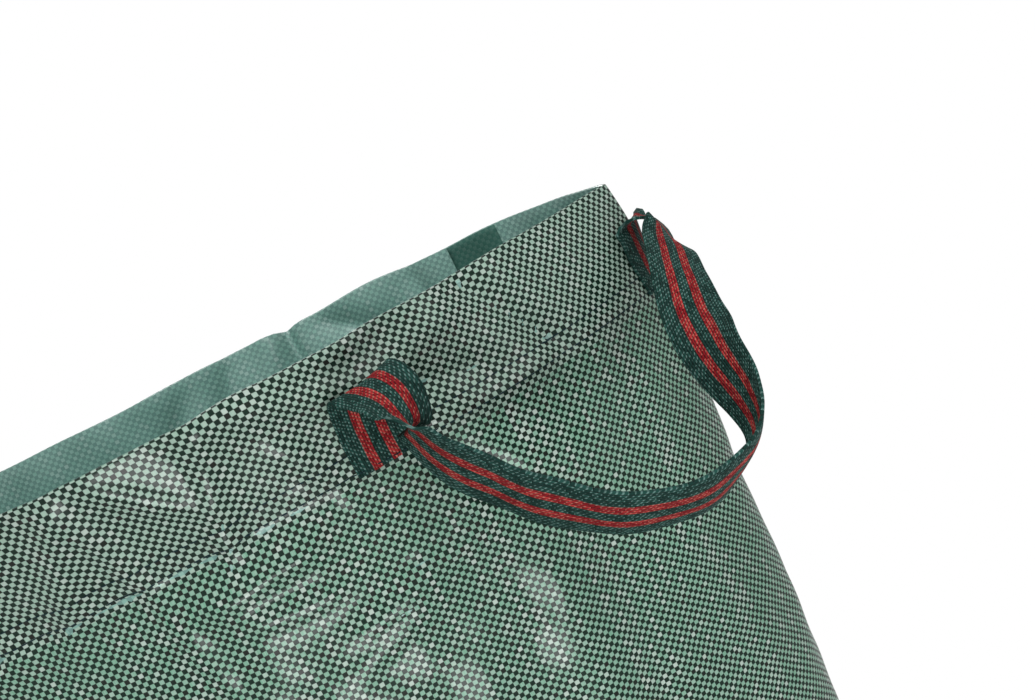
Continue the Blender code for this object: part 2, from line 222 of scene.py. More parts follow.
def woven_tape(name, film, contrast, roughness, coat, coat_roughness):
    """Plain weave: in every other cell a pale tape runs over a dark one, and in the rest the dark one
    runs over. Contrast says how clearly the weave shows through the film. The hem's pale tapes are
    painted paler, partly as painted sheen for the light that the glossy hem catches and partly for its
    two layers, which let less light through. Where a tape dips under the next one, painted shade darkens
    its ends and sides."""
    finish = Finish(name, coat_weight=coat, coat_roughness=coat_roughness, specular_ior_level=0.05)
    around, up = finish.cloth()
    x = around / TAPE_UP
    y = up / TAPE_ROUND
    column = x.floor()
    row = y.floor()
    in_x = x - column - 0.5
    in_y = y - row - 0.5
    dark_over = (column + row) % 2.0
    pale_over = 1.0 - dark_over
    # Each tape has its own tone, and so has each cell. The tapes take theirs beside the cells' numbers.
    up_tone = finish.chance(column, 3.0)
    round_tone = finish.chance(7.0, row)
    cell_tone = finish.chance(column, row)
    streaks_up = finish.noise(finish.joined(around * STREAKS_ACROSS, up * STREAKS_ALONG))
    streaks_round = finish.noise(finish.joined(around * STREAKS_ALONG, up * STREAKS_ACROSS))
    pale = finish.mix(streaks_up.eased(0.35, 0.65), PALE_TAPE, PALE_TAPE_GREEN)
    pale = finish.mix(((cell_tone + up_tone) / 2.0).eased(0.45, 1.0), pale, PALE_TAPE_GREY)
    # The hem's pale tapes are painted paler: partly painted sheen, partly its two layers.
    paler_hem = (up > HEM_EDGE) * (up < RIM)
    pale = finish.mix(paler_hem * HEM_SHEEN_AND_LAYERS, pale, PALE_TAPE_GREY)
    dark = finish.mix(((cell_tone + round_tone) / 2.0).eased(0.5, 1.0), DARK_TAPE, DARK_TAPE_BROWN)
    dark = finish.mix(streaks_round.eased(0.45, 0.8) * FAINT, dark, PALE_TAPE_GREEN)
    edge_x = abs(in_x).eased(TAPE_EDGE, 0.5)
    edge_y = abs(in_y).eased(TAPE_EDGE, 0.5)
    woven = finish.mix(dark_over, pale, dark)
    ends = edge_y * pale_over + edge_x * dark_over
    sides = edge_x * pale_over + edge_y * dark_over
    # Painted shade: a tape's ends and sides are darkened towards the dark tape where it dips under the
    # next one.
    woven = finish.mix((ends * SHADE_AT_ENDS + sides * SHADE_AT_SIDES).smaller(DEEPEST_SHADE), woven, DARK_TAPE)
    colour = finish.mix(contrast, film, woven)
    patches = finish.noise(finish.joined(around, up), PATCHES, 3.0)
    colour = finish.mix(patches.eased(0.3, 0.75) * FAINT, colour, film)
    pillow_up = pale_over * (1.0 - in_y**2.0 * ROUNDNESS - edge_x * 0.5)
    pillow_round = dark_over * (1.0 - in_x**2.0 * ROUNDNESS - edge_y * 0.5)
    slack = finish.noise(finish.joined(around, up), SLACK_PLACES, 3.0)
    lean = in_x * (cell_tone - 0.5) + in_y * (finish.chance(row, column) - 0.5)
    height = (pillow_up + pillow_round) * (0.2 + cell_tone * 0.5) + lean * LEAN + slack * SLACK
    finish.set(base_color=colour, roughness=roughness + (cell_tone * 0.5 + slack) * ROUGHNESS_SPREAD)
    finish.bump(height, WEAVE_HEIGHT)
    return finish.material


OUTSIDE_FINISH = woven_tape(
    "woven_tape_outside", FILM_HAZE, contrast=1.0, roughness=0.36, coat=0.2, coat_roughness=0.15
)
INSIDE_FINISH = woven_tape(
    "woven_tape_inside", INNER_FILM, contrast=0.34, roughness=0.34, coat=0.9, coat_roughness=0.25
)


# The wall
# One sheet, sewn into a tube round the bottom. Its top is turned in and stitched down, so the hem and
# the wall are one piece here. The mouth lies half flat: the front bows out, the back buckles in.
BOTTOM_RADIUS = 0.225
GIRTH = 2 * math.pi * BOTTOM_RADIUS
# How far the front bows out and how sharply, each at the foot, the hem and the rim.
FRONT_BOW = (BOTTOM_RADIUS, 0.127, 0.151)
FRONT_SHARPNESS = (1.0, 1.37, 2.1)
BACK_SHARPNESS = 1.08
# The back's buckle at the top: its depth, its place and its spread in shares of half the length.
BUCKLE = 0.66
BUCKLE_PLACE = -0.38
BUCKLE_SPREAD = 0.93
FLATTENING = 3.4
# The mouth's corners are cut off square to a slanting line, less and less towards the foot.
CORNER_TURN = math.radians(27.0)
CORNER_DEPTH = 0.0035
CORNER_FADE = 0.20
CORNER_SOFTNESS = 0.004
# The foot turns in a little towards its seam.
TUCK = 0.004
TUCK_HEIGHT = 0.030
TURNS = np.linspace(0.0, math.pi, 241)
HALVINGS = 30


def pushed_back(over, softness):
    """How far places are pushed back that reach past a limit, eased over the softness."""
    near = np.clip(over + softness, 0.0, None) ** 2 / (4.0 * softness)
    return np.where(over >= softness, over, near)


def half_outline(half_length, depth, sharpness, buckle, fade, side):
    """One half of the wall's outline, corner to corner: side is -1 for the front and 1 for the back.
    Fade is how far beyond the half length the corner's cut lies."""
    across = np.cos(TURNS) * -side
    swell = np.sin(TURNS).clip(0.0)
    dip = buckle * swell**2 * np.exp(-(((across - BUCKLE_PLACE) / BUCKLE_SPREAD) ** 2))
    x = half_length * across
    y = side * depth * swell**sharpness * (1.0 - dip)
    out_x, out_y = math.cos(CORNER_TURN), -math.sin(CORNER_TURN)
    limit = half_length * out_x + fade
    for sign in (1.0, -1.0):
        push = pushed_back((x * out_x + y * out_y) * sign - limit, CORNER_SOFTNESS) * sign
        x = x - push * out_x
        y = y - push * out_y
    return np.stack([x, y], 1)


def unit(vectors):
    return vectors / np.linalg.norm(vectors, axis=-1, keepdims=True)


def lengths_along(outline):
    return np.concatenate([[0.0], np.cumsum(np.linalg.norm(np.diff(outline, axis=0), axis=1))])


def solved(low, high, outline_of):
    """The value at which an outline that grows with it is half the girth long."""
    for _ in range(HALVINGS):
        middle = (low + high) / 2
        if lengths_along(outline_of(middle))[-1] > GIRTH / 2:
            high = middle
        else:
            low = middle
    return (low + high) / 2


def wall_ring(height, columns):
    """Places evenly spread round the wall at one height, leftwards from the right corner."""
    rise = min(height / HEM_FOOT, 1.0)
    flare = max(height - HEM_FOOT, 0.0) / (RIM - HEM_FOOT)
    blend = 1.0 - (1.0 - rise) ** FLATTENING
    foot, hem, rim = FRONT_BOW
    bow = foot + (hem - foot) * blend + (rim - hem) * flare
    foot, hem, rim = FRONT_SHARPNESS
    sharpness = foot + (hem - foot) * rise**2 + (rim - hem) * flare
    back_sharpness = 1.0 + (BACK_SHARPNESS - 1.0) * rise
    buckle = BUCKLE * rise**3
    fade = CORNER_FADE * max(HEM_FOOT - height, 0.0) - CORNER_DEPTH + CORNER_SOFTNESS

    def front(half):
        return half_outline(half, bow, sharpness, 0.0, fade, -1.0)

    half = solved(GIRTH / 10, GIRTH / 3, front)

    def back(depth):
        return half_outline(half, depth, back_sharpness, buckle, fade, 1.0)

    depth = solved(0.0, 2 * BOTTOM_RADIUS, back)
    tucked = 1.0 - TUCK / BOTTOM_RADIUS * max(1.0 - height / TUCK_HEIGHT, 0.0) ** 2
    outline = np.concatenate([front(half), back(depth)[1:]])
    along = lengths_along(outline)
    where = np.arange(columns) / columns * along[-1]
    ring = [np.interp(where, along, outline[:, axis]) for axis in (0, 1)]
    return np.stack([*ring, np.full(columns, height / tucked)], 1) * tucked


# Creases of the front and back, in millimetres: where each starts and ends (round the wall, then up it),
# how wide it is and how far it stands out.
CREASES = (
    (268, 745, 282, 700, 6, 2.2),
    (250, 752, 200, 738, 9, 2.6),
    (222, 757, 190, 757, 6, 1.4),
    (300, 672, 262, 676, 8, 2.6),
    (285, 655, 262, 652, 6, 1.4),
    (240, 628, 178, 642, 6, 2.2),
    (330, 730, 318, 640, 5, 1.6),
    (345, 610, 290, 596, 7, 1.8),
    (310, 745, 292, 728, 7, 1.8),
    (236, 722, 226, 696, 5, 1.6),
    (178, 735, 150, 742, 8, 1.8),
    (172, 722, 142, 716, 6, -1.4),
    (205, 652, 176, 656, 5, 1.2),
    (250, 612, 215, 622, 5, 1.2),
    (176, 700, 150, 700, 7, 1.8),
    (130, 697, 112, 699, 7, 1.8),
    (118, 752, 98, 712, 7, -2.2),
    (172, 690, 140, 640, 8, -1.8),
    (150, 600, 160, 480, 14, 1.8),
    (118, 610, 130, 470, 12, -1.8),
    (340, 745, 370, 690, 8, 2.2),
    (400, 690, 470, 670, 8, 1.8),
    (560, 750, 540, 690, 8, 2.4),
    (500, 640, 600, 600, 12, 1.6),
    (350, 420, 470, 360, 16, 1.4),
    (200, 300, 120, 220, 16, 1.4),
    (1145, 760, 1150, 690, 5, 4.8),
    (1130, 760, 1120, 690, 7, -3),
    (1100, 750, 1085, 715, 8, 2.6),
    (1180, 745, 1215, 720, 9, 2.6),
    (1235, 750, 1245, 700, 7, 2.2),
    (1060, 735, 1030, 680, 10, 2.8),
    (900, 690, 820, 640, 12, 1.4),
    (980, 560, 1120, 500, 16, 1.2),
    (1200, 420, 1080, 340, 18, 1.2),
)
CREASE_STRENGTH = 1.9
CREASE_SHARPNESS = 1.5
CREASE_FADE = 2.2
# The deepest crease of the back leaves a notch in the rim, and the rest of the rim waves a little.
NOTCH_PLACE = 1.145
NOTCH_WIDTH = 0.006
NOTCH_DEPTH = 0.0020
RIM_WAVE = 0.0007
# Soft waves of the whole sheet, large and small, which start above the stiff foot.
LARGE_WAVE = 0.0014
SMALL_WAVE = 0.00055
STIFF_FOOT = 0.05
# Puckers along the bottom's seam: length, depth, height and spread, and where they start.
FOOT_PUCKER_LENGTH = 0.021
FOOT_PUCKER = 0.0012
FOOT_PUCKER_HEIGHT = 0.012
FOOT_PUCKER_SPREAD = 0.022
FOOT_PUCKER_START = 0.01
# The two rows of stitches: where they run, the grooves that they draw and the puckers round them.
ROW_SPACING = 0.0106
LOWER_ROW = HEM_FOOT + 0.0012
UPPER_ROW = LOWER_ROW + ROW_SPACING
ROW_GROOVE = 0.0003
ROW_GROOVE_WIDTH = 0.0017
ROW_PUCKER = 0.0003
ROW_PUCKER_SPREAD = 0.014


def soft_waves(around, up, seed, count, longest, shortest):
    """A sum of smooth waves in many directions that closes round the girth, from about -1 to 1."""
    draw = np.random.default_rng(seed)
    total = np.zeros(np.broadcast(around, up).shape)
    for _ in range(count):
        turns = round(GIRTH / draw.uniform(shortest, longest)) * draw.choice([-1, 1])
        rise = draw.uniform(-1.0, 1.0) / shortest
        phase = draw.uniform(0.0, 2 * math.pi)
        total = total + np.sin(2 * math.pi * (turns * around / GIRTH + rise * up) + phase)
    return total / math.sqrt(count)


def bell(distance, width):
    return np.exp(-((distance / width) ** 2))


def relief(around, up):
    """How far the sheet stands off its smooth shape at a place round it and up it."""
    free = np.clip(up / STIFF_FOOT, 0.0, 1.0)
    large = soft_waves(around, up, seed=3, count=9, longest=0.34, shortest=0.16)
    small = soft_waves(around, up, seed=8, count=12, longest=0.07, shortest=0.035)
    lift = LARGE_WAVE * free * large + SMALL_WAVE * free * small
    for crease in CREASES:
        u0, h0, u1, h1, width, height = np.array(crease) / 1000.0
        run = np.array([u1 - u0, h1 - h0])
        length = np.linalg.norm(run)
        u = (around - u0 + GIRTH / 2) % GIRTH - GIRTH / 2
        h = up - h0
        share = (u * run[0] + h * run[1]) / length**2
        off = np.abs(u * run[1] - h * run[0]) / length
        beyond = np.maximum(np.abs(share - 0.5) - 0.5, 0.0) * length
        section = np.exp(-((off / width) ** CREASE_SHARPNESS))
        lift = lift + CREASE_STRENGTH * height * section * bell(beyond, CREASE_FADE * width)
    drawn = soft_waves(around, up, seed=5, count=10, longest=0.024, shortest=0.014)
    lift = lift + ROW_PUCKER * bell(up - LOWER_ROW - ROW_SPACING / 2, ROW_PUCKER_SPREAD) * drawn
    for row in (LOWER_ROW, UPPER_ROW):
        lift = lift - ROW_GROOVE * bell(up - row, ROW_GROOVE_WIDTH)
    pucker = np.sin(2 * math.pi * around / GIRTH * round(GIRTH / FOOT_PUCKER_LENGTH))
    uneven = 0.6 + 0.4 * soft_waves(around, up * 0.0, seed=6, count=5, longest=0.3, shortest=0.1)
    at_foot = bell(up - FOOT_PUCKER_HEIGHT, FOOT_PUCKER_SPREAD)
    at_foot = at_foot * np.clip(up / FOOT_PUCKER_START, 0.0, 1.0)
    return lift + FOOT_PUCKER * pucker * uneven * at_foot


COLUMNS = 352
WALL_HEIGHTS = np.concatenate([np.linspace(0.0, HEM_FOOT, 160), np.linspace(HEM_FOOT, RIM, 21)[1:]])
# The sheet lies this far inside the outline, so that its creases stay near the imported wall.
SINK = 0.0006


def wall_grid():
    """The sheet's outer face as rows of places, and the way out of the sheet at each."""
    smooth = np.stack([wall_ring(height, COLUMNS) for height in WALL_HEIGHTS])
    around = np.arange(COLUMNS) / COLUMNS * GIRTH
    lift = relief(around[None, :], WALL_HEIGHTS[:, None])

    def ways_out(places):
        round_it = np.roll(places, -1, 1) - np.roll(places, 1, 1)
        up_it = np.gradient(places, axis=0)
        return unit(np.cross(up_it, round_it))

    faces = smooth + ways_out(smooth) * (lift - SINK)[..., None]
    near_rim = np.clip((WALL_HEIGHTS - HEM_FOOT) / (RIM - HEM_FOOT), 0.0, 1.0)[:, None] ** 2
    waves = soft_waves(around, around * 0.0, seed=12, count=7, longest=0.2, shortest=0.06)
    dip = NOTCH_DEPTH * bell(around - NOTCH_PLACE, NOTCH_WIDTH) + RIM_WAVE * (1.0 + waves)
    faces[..., 2] -= near_rim * dip[None, :]
    faces[..., 2] = np.clip(faces[..., 2], 0.0, None)
    return faces, ways_out(faces)


WALL, WALL_OUT = wall_grid()


def row_at(up):
    """The row of the wall's grid below a height, and the share of the way from it to the next."""
    place = np.interp(up, WALL_HEIGHTS, np.arange(len(WALL_HEIGHTS)))
    low = min(int(place), len(WALL_HEIGHTS) - 2)
    return low, place - low


def on_wall(around, up, out=0.0):
    """A place off the wall's outer face."""
    column = around / GIRTH * COLUMNS
    here = math.floor(column)
    across = column - here
    low, rise = row_at(up)
    place = np.zeros(3)
    for i, share_up in ((low, 1.0 - rise), (low + 1, rise)):
        for j, share_round in ((here % COLUMNS, 1.0 - across), ((here + 1) % COLUMNS, across)):
            place = place + (WALL[i, j] + WALL_OUT[i, j] * out) * share_up * share_round
    return Vector(place)


def wall_row(up, out):
    """A whole row of places off the wall's outer face."""
    low, share = row_at(up)
    face = WALL[low] * (1.0 - share) + WALL[low + 1] * share
    way = WALL_OUT[low] * (1.0 - share) + WALL_OUT[low + 1] * share
    return face + way * out


def placed(name, data):
    """A new object in the scene."""
    thing = bpy.data.objects.new(name, data)
    bpy.context.scene.collection.objects.link(thing)
    return thing


def cloth_map(around, up):
    """A map with one place for each pair of places round the cloth and up it."""
    return np.stack(np.meshgrid(around, up), -1)


def grid_object(name, rows, uvs, materials, slots):
    """A mesh of quads from rows of places that each close to a ring. Slots has one material number for
    each row of quads. Where there are as many as rows of places, the last row joins the first."""
    count_up, count_round = rows.shape[:2]
    i, j = np.meshgrid(np.arange(len(slots)), np.arange(count_round), indexing="ij")
    corners = [(i, j), (i, j + 1), (i + 1, j + 1), (i + 1, j)]
    faces = np.stack([(a % count_up) * count_round + b % count_round for a, b in corners], -1)
    mesh = bpy.data.meshes.new(name)
    mesh.vertices.add(count_up * count_round)
    mesh.vertices.foreach_set("co", rows.reshape(-1))
    total = faces.shape[0] * faces.shape[1]
    mesh.loops.add(total * 4)
    mesh.loops.foreach_set("vertex_index", faces.reshape(-1))
    mesh.polygons.add(total)
    mesh.polygons.foreach_set("loop_start", np.arange(total) * 4)
    mesh.polygons.foreach_set("material_index", np.repeat(slots, count_round))
    mesh.update(calc_edges=True)
    for layer_name, values in uvs.items():
        layer = mesh.uv_layers.new(name=layer_name)
        chosen = np.stack([values[a, b] for a, b in corners], 2)
        layer.data.foreach_set("uv", chosen.reshape(-1))
    mesh.shade_smooth()
    for material in materials:
        mesh.materials.append(material)
    mesh.validate()
    return placed(name, mesh)


MAP_MARGIN = 0.002


def bake_map(count_up, count_round):
    """A map that fills the unit square, one share of it for each face."""
    across = np.linspace(MAP_MARGIN, 1.0 - MAP_MARGIN, count_round)
    up = np.linspace(MAP_MARGIN, 1.0 - MAP_MARGIN, count_up)
    return cloth_map(across, up)


# The two layers of the hem lie this far apart, and the fold at the rim has this many faces.
FOLD_GAP = 0.0004
FOLD_STEPS = 6


def make_wall():
    """The sheet's section goes up the outer face, over the rim, down the turned-in hem and back. Each
    place on it has its height, how far it is out, and whether it shows the inside finish."""
    hem_heights = WALL_HEIGHTS[WALL_HEIGHTS > HEM_EDGE][:-1]
    inner_heights = WALL_HEIGHTS[::2]
    inner_radius = FOLD_GAP / 2
    radius = SHEET + inner_radius
    section = [(height, 0.0, 0) for height in WALL_HEIGHTS[:-1]]
    for step in range(FOLD_STEPS + 1):
        turn = math.pi * step / FOLD_STEPS
        inside = int(step > FOLD_STEPS / 2)
        section.append((RIM - radius + radius * math.sin(turn), radius * (math.cos(turn) - 1.0), inside))
    section += [(height, -2.0 * radius, 1) for height in hem_heights[::-1][1:]]
    section += [(height, -2.0 * radius + SHEET, 1) for height in hem_heights[1:]]
    for turn in (math.pi, math.pi / 2, 0.0):
        height = RIM - radius + inner_radius * math.sin(turn)
        section.append((height, -radius + inner_radius * math.cos(turn), 1))
    section += [(height, -SHEET, 1) for height in inner_heights[::-1][1:]]
    rows = np.stack([wall_row(height, out) for height, out, _ in section])
    rows[..., 2] = np.maximum(rows[..., 2], 0.0)
    travel = lengths_along(np.array([(height, out) for height, out, _ in section]))
    travel = np.append(travel, travel[-1] + SHEET)
    cloth = cloth_map(np.linspace(0.0, GIRTH, COLUMNS + 1), travel)
    uvs = {"cloth": cloth, "OFBake": bake_map(len(travel), COLUMNS + 1)}
    slots = [slot for _, _, slot in section]
    wall = grid_object("bag_wall_sheet", rows, uvs, [OUTSIDE_FINISH, INSIDE_FINISH], slots)
    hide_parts("bag_wall", "top_hem")
    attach(wall, "bag")


make_wall()


# The bottom
# A round disc of the same sheet. Its edge and the wall's foot are sewn together and stand up inside as a
# raw allowance of two layers, a little uneven where the scissors went.
BOTTOM_THICKNESS = 0.0011
BOTTOM_WAVE = 0.0006
# How much shorter its waves are than the same ones on the wall would be.
WAVE_SHORTENING = 3.0
# Its map lies beyond the wall's, so that no part of it takes the hem's paler tones, which are painted
# sheen and the hem's two layers.
MAP_SHIFT = 1.0
ALLOWANCE = 0.012
ALLOWANCE_LAYERS = 0.0022
RAGGED_EDGE = 0.0005
# The gap that is kept between two pieces that touch.
SEAT = 0.0003


def filled(thing):
    """The thing with each open end of its mesh filled by one face."""
    builder = bmesh.new()
    builder.from_mesh(thing.data)
    bmesh.ops.holes_fill(builder, edges=[edge for edge in builder.edges if edge.is_boundary])
    bmesh.ops.recalc_face_normals(builder, faces=builder.faces)
    builder.to_mesh(thing.data)
    builder.free()
    return thing


def make_bottom():
    """Rings from the middle out for the inside, and back in for the underside."""
    edge = wall_row(0.0, -SHEET - SEAT)
    middle = edge.mean(0)
    shares = np.concatenate([np.linspace(0.02, 0.98, 40), [1.0]])
    rows = []
    for share in shares:
        row = middle + (edge - middle) * share
        x, y, _ = row.T * WAVE_SHORTENING
        waves = soft_waves(x, y, seed=21, count=9, longest=0.5, shortest=0.2)
        row[:, 2] = BOTTOM_THICKNESS + SHEET + BOTTOM_WAVE * (1.0 + waves) * (1.0 - share**4)
        rows.append(row)
    for share in shares[::-1]:
        row = middle + (edge - middle) * share
        row[:, 2] = 0.0
        rows.append(row)
    rows = np.stack(rows)
    wrapped = np.concatenate([rows, rows[:, :1]], 1)
    uvs = {"cloth": wrapped[..., :2] + MAP_SHIFT}
    slots = [1] * len(shares) + [0] * (len(shares) - 1)
    disc = grid_object("bottom_disc", rows, uvs, [OUTSIDE_FINISH, INSIDE_FINISH], slots)
    filled(disc)
    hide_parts("bag_bottom")
    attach(disc, "bag")


def make_allowance():
    foot = BOTTOM_THICKNESS + SHEET + SEAT
    around = np.arange(COLUMNS) / COLUMNS * GIRTH
    waves = soft_waves(around, around * 0.0, seed=31, count=8, longest=0.03, shortest=0.012)
    ragged = RAGGED_EDGE * waves
    near = -SHEET - SEAT
    far = near - ALLOWANCE_LAYERS
    heights = np.linspace(foot, foot + ALLOWANCE, 5)
    rows = []
    for out, ups in ((near, heights), (far, heights[::-1])):
        for up in ups:
            row = wall_row(up, out)
            row[:, 2] = up + ragged * (up - foot) / ALLOWANCE
            rows.append(row)
    rows = np.stack(rows)
    travel = np.linspace(0.0, 3 * ALLOWANCE, len(rows) + 1)
    uvs = {"cloth": cloth_map(np.linspace(0.0, GIRTH, COLUMNS + 1), travel)}
    sleeve = grid_object("bottom_seam_allowance", rows, uvs, [INSIDE_FINISH], [0] * len(rows))
    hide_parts("bottom_seam")
    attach(sleeve, "bag")


make_bottom()
make_allowance()


# The side seam
# The sheet's two upright edges meet inside the back wall, folded over each other and stitched, so a
# plain smooth strip shows where the tapes' backs lie under the film.
# Where the strip starts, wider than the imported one, and ends round the wall, and how far it keeps from
# what is below and above it.
SEAM_WIDENED = 0.005
SEAM_START = GIRTH * 79 / 88 - SEAM_WIDENED
SEAM_END = GIRTH * 81 / 88
SEAM_ABOVE_ALLOWANCE = 0.002
SEAM_BELOW_RIM = 0.0008
SEAM_THICKNESS = 0.0012
SEAM_EDGE_THICKNESS = 0.0003
# It steps over the hem's edge: how far below the edge the step starts, and how long the step is.
STEP_BELOW_HEM = 0.008
STEP_LENGTH = 0.006
SEAM_FILM = (0.041, 0.123, 0.099)
SEAM_FINISH = woven_tape(
    "seam_film", SEAM_FILM, contrast=0.07, roughness=0.5, coat=0.12, coat_roughness=0.3
)


def make_side_seam():
    low = BOTTOM_THICKNESS + SHEET + 2 * SEAT + ALLOWANCE + SEAM_ABOVE_ALLOWANCE
    below_hem = np.linspace(low, HEM_EDGE - STEP_BELOW_HEM, 90)
    heights = np.concatenate([below_hem, np.linspace(HEM_EDGE, RIM - SEAM_BELOW_RIM, 22)])
    shares = np.linspace(0.0, 1.0, 11)
    sides = []
    for layer in (0.0, 1.0):
        rows = []
        for up in heights:
            over_hem = np.clip((up - HEM_EDGE + STEP_BELOW_HEM) / STEP_LENGTH, 0.0, 1.0)
            near = -SHEET - SEAT - over_hem * (SHEET + FOLD_GAP)
            row = []
            for share in shares:
                plump = 1.0 - abs(2.0 * share - 1.0) ** 6
                thickness = SEAM_EDGE_THICKNESS + (SEAM_THICKNESS - SEAM_EDGE_THICKNESS) * plump
                out = near - layer * thickness
                row.append(on_wall(SEAM_START + (SEAM_END - SEAM_START) * share, up, out))
            rows.append(row)
        sides.append(np.array(rows))
    rows = np.concatenate([sides[0], sides[1][:, ::-1]], 1)
    across = np.concatenate([shares, shares[::-1], shares[:1]]) * (SEAM_END - SEAM_START)
    uvs = {"cloth": cloth_map(across, heights)}
    slots = [0] * (len(heights) - 1)
    strip = grid_object("side_seam_strip", rows, uvs, [SEAM_FINISH], slots)
    filled(strip)
    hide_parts("side_seam")
    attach(strip, "bag")


make_side_seam()


# The webbing
# Polypropylene webbing, 32 mm wide: dark green with two narrow red stripes, woven in fine ribs, with teal
# flecks of painted glint between the turns of the yarn and painted shade in the gaps between them.
# Handles are one length of it, sewn to the wall at each end.
WEBBING_WIDTH = 0.032
WEBBING_THICKNESS = 0.0016
EDGE_ROUNDING = 0.0006
STRIPE_FROM_MIDDLE = 0.0052
STRIPE_WIDTH = 0.0046
STRIPE_SOFTNESS = 0.0002
STRIPE_WANDER = 0.0010
# A rib's width, a turn of its yarn along it, how far the ribs wander, and how deep they are.
RIB = 0.00135
TURN = 0.0026
RIB_WANDER = 0.0003
RIB_DEPTH = 0.00055
# A turn of yarn: how far it slants, and how round it is across and along.
SLANT = 0.45
ROUND_ACROSS = 2.6
ROUND_ALONG = 1.9
# How fine the wandering and the fuzz are, in turns per metre.
WANDER_ACROSS = 400.0
WANDER_ALONG = 90.0
FUZZ_ACROSS = 3000.0
FUZZ_ALONG = 1200.0
WEBBING_GREEN = (0.0050, 0.030, 0.024)
WEBBING_GREEN_LIGHT = (0.018, 0.082, 0.066)
WEBBING_GLINT = (0.17, 0.31, 0.28)
WEBBING_GAP_SHADE = (0.001, 0.005, 0.004)
STRIPE_RED = (0.24, 0.008, 0.013)
STRIPE_RED_LIGHT = (0.50, 0.040, 0.040)
STRIPE_GLINT = (0.66, 0.24, 0.18)
STRIPE_GAP_SHADE = (0.022, 0.006, 0.006)
# A free strap is cupped across, with this curvature, from this far off its ends.
CURL = -13.0
CURL_START = 0.09
# Limp waves run along it: how many, how high, the lengths they may have and how slanting they may be.
LIMP_WAVES = 5
LIMP = 0.00035
LIMP_LENGTHS = (0.035, 0.09)
LIMP_SLANT = 90.0
# The cup and the waves grow over this length.
EASING = 0.06
# The steps of the strap's mesh, the places its route is measured at, and those round its section.
STRAP_STEP = 0.0018
ROUTE_PLACES = 1600
FLAT_PLACES = 15
EDGE_PLACES = 6


def webbing_finish():
    finish = Finish("striped_webbing", roughness=0.7, specular_ior_level=0.12)
    across, along = finish.cloth()
    wander = finish.noise(finish.joined(across * WANDER_ACROSS, along * WANDER_ALONG))
    x = (across + (wander - 0.5) * RIB_WANDER) / RIB
    column = x.floor()
    shift = (column % 2.0) * 0.5
    rib_tone = finish.chance(column, 1.0)
    y = along / TURN + shift + rib_tone * 0.2 + (wander - 0.5) * 0.5
    row = y.floor()
    in_x = x - column - 0.5
    in_y = y - row - 0.5
    slanted = in_y + in_x * SLANT
    tone = finish.chance(column, row)
    dome = 1.0 - in_x**2.0 * ROUND_ACROSS - slanted**2.0 * ROUND_ALONG
    # Painted glints: light flecks near the ends of the turns of yarn, teal on the green and orange on the
    # red.
    glint = abs(slanted).eased(0.24, 0.44) * abs(in_x).eased(0.46, 0.20) * tone.eased(0.10, 0.65)
    # Painted shade: the colour is darkened where the domed turns of yarn fall away into the gaps between
    # them.
    gap = dome.eased(0.66, 0.22)
    from_stripe = abs(abs(across) - STRIPE_FROM_MIDDLE) + (wander - 0.5) * STRIPE_WANDER
    stripe = from_stripe.eased(STRIPE_WIDTH / 2 + STRIPE_SOFTNESS, STRIPE_WIDTH / 2 - STRIPE_SOFTNESS)
    green = finish.mix(tone.eased(0.35, 1.0) * 0.7, WEBBING_GREEN, WEBBING_GREEN_LIGHT)
    green = finish.mix(gap * 0.9, green, WEBBING_GAP_SHADE)
    green = finish.mix(glint * 0.8, green, WEBBING_GLINT)
    red = finish.mix(tone.eased(0.35, 1.0) * 0.8, STRIPE_RED, STRIPE_RED_LIGHT)
    red = finish.mix(gap * 0.9, red, STRIPE_GAP_SHADE)
    red = finish.mix(glint * 0.7, red, STRIPE_GLINT)
    finish.set(base_color=finish.mix(stripe, green, red))
    fuzz = finish.noise(finish.joined(across * FUZZ_ACROSS, along * FUZZ_ALONG))
    finish.bump(dome + fuzz * 0.25, RIB_DEPTH)
    return finish.material


WEBBING_FINISH = webbing_finish()


def smooth_route(stops, share):
    """A Catmull-Rom curve through the stops, evenly spread over shares from 0 to 1."""
    stops = np.asarray(stops, float)
    spans = len(stops) - 1
    place = np.clip(share, 0.0, 1.0) * spans
    index = np.minimum(place.astype(int), spans - 1)
    t = (place - index)[:, None]
    padded = np.concatenate([[2 * stops[0] - stops[1]], stops, [2 * stops[-1] - stops[-2]]])
    before, start, end, after = (padded[index + step] for step in range(4))
    curve = 2 * start + (end - before) * t + (2 * before - 5 * start + 4 * end - after) * t**2
    return (curve + (3 * start - 3 * end + after - before) * t**3) / 2


def webbing_section():
    """Round the strap's section: its place across, and its share of half the thickness."""
    flat_half = WEBBING_WIDTH / 2 - EDGE_ROUNDING
    flat = np.linspace(-1.0, 1.0, FLAT_PLACES) * flat_half
    turn = np.linspace(math.pi / 2, -math.pi / 2, EDGE_PLACES)[1:-1]
    edge = flat_half + EDGE_ROUNDING * np.cos(turn)
    level = np.ones(FLAT_PLACES)
    across = np.concatenate([flat, edge, flat[::-1], -edge[::-1]])
    rise = np.concatenate([level, np.sin(turn), -level, np.sin(turn[::-1])])
    return across, rise


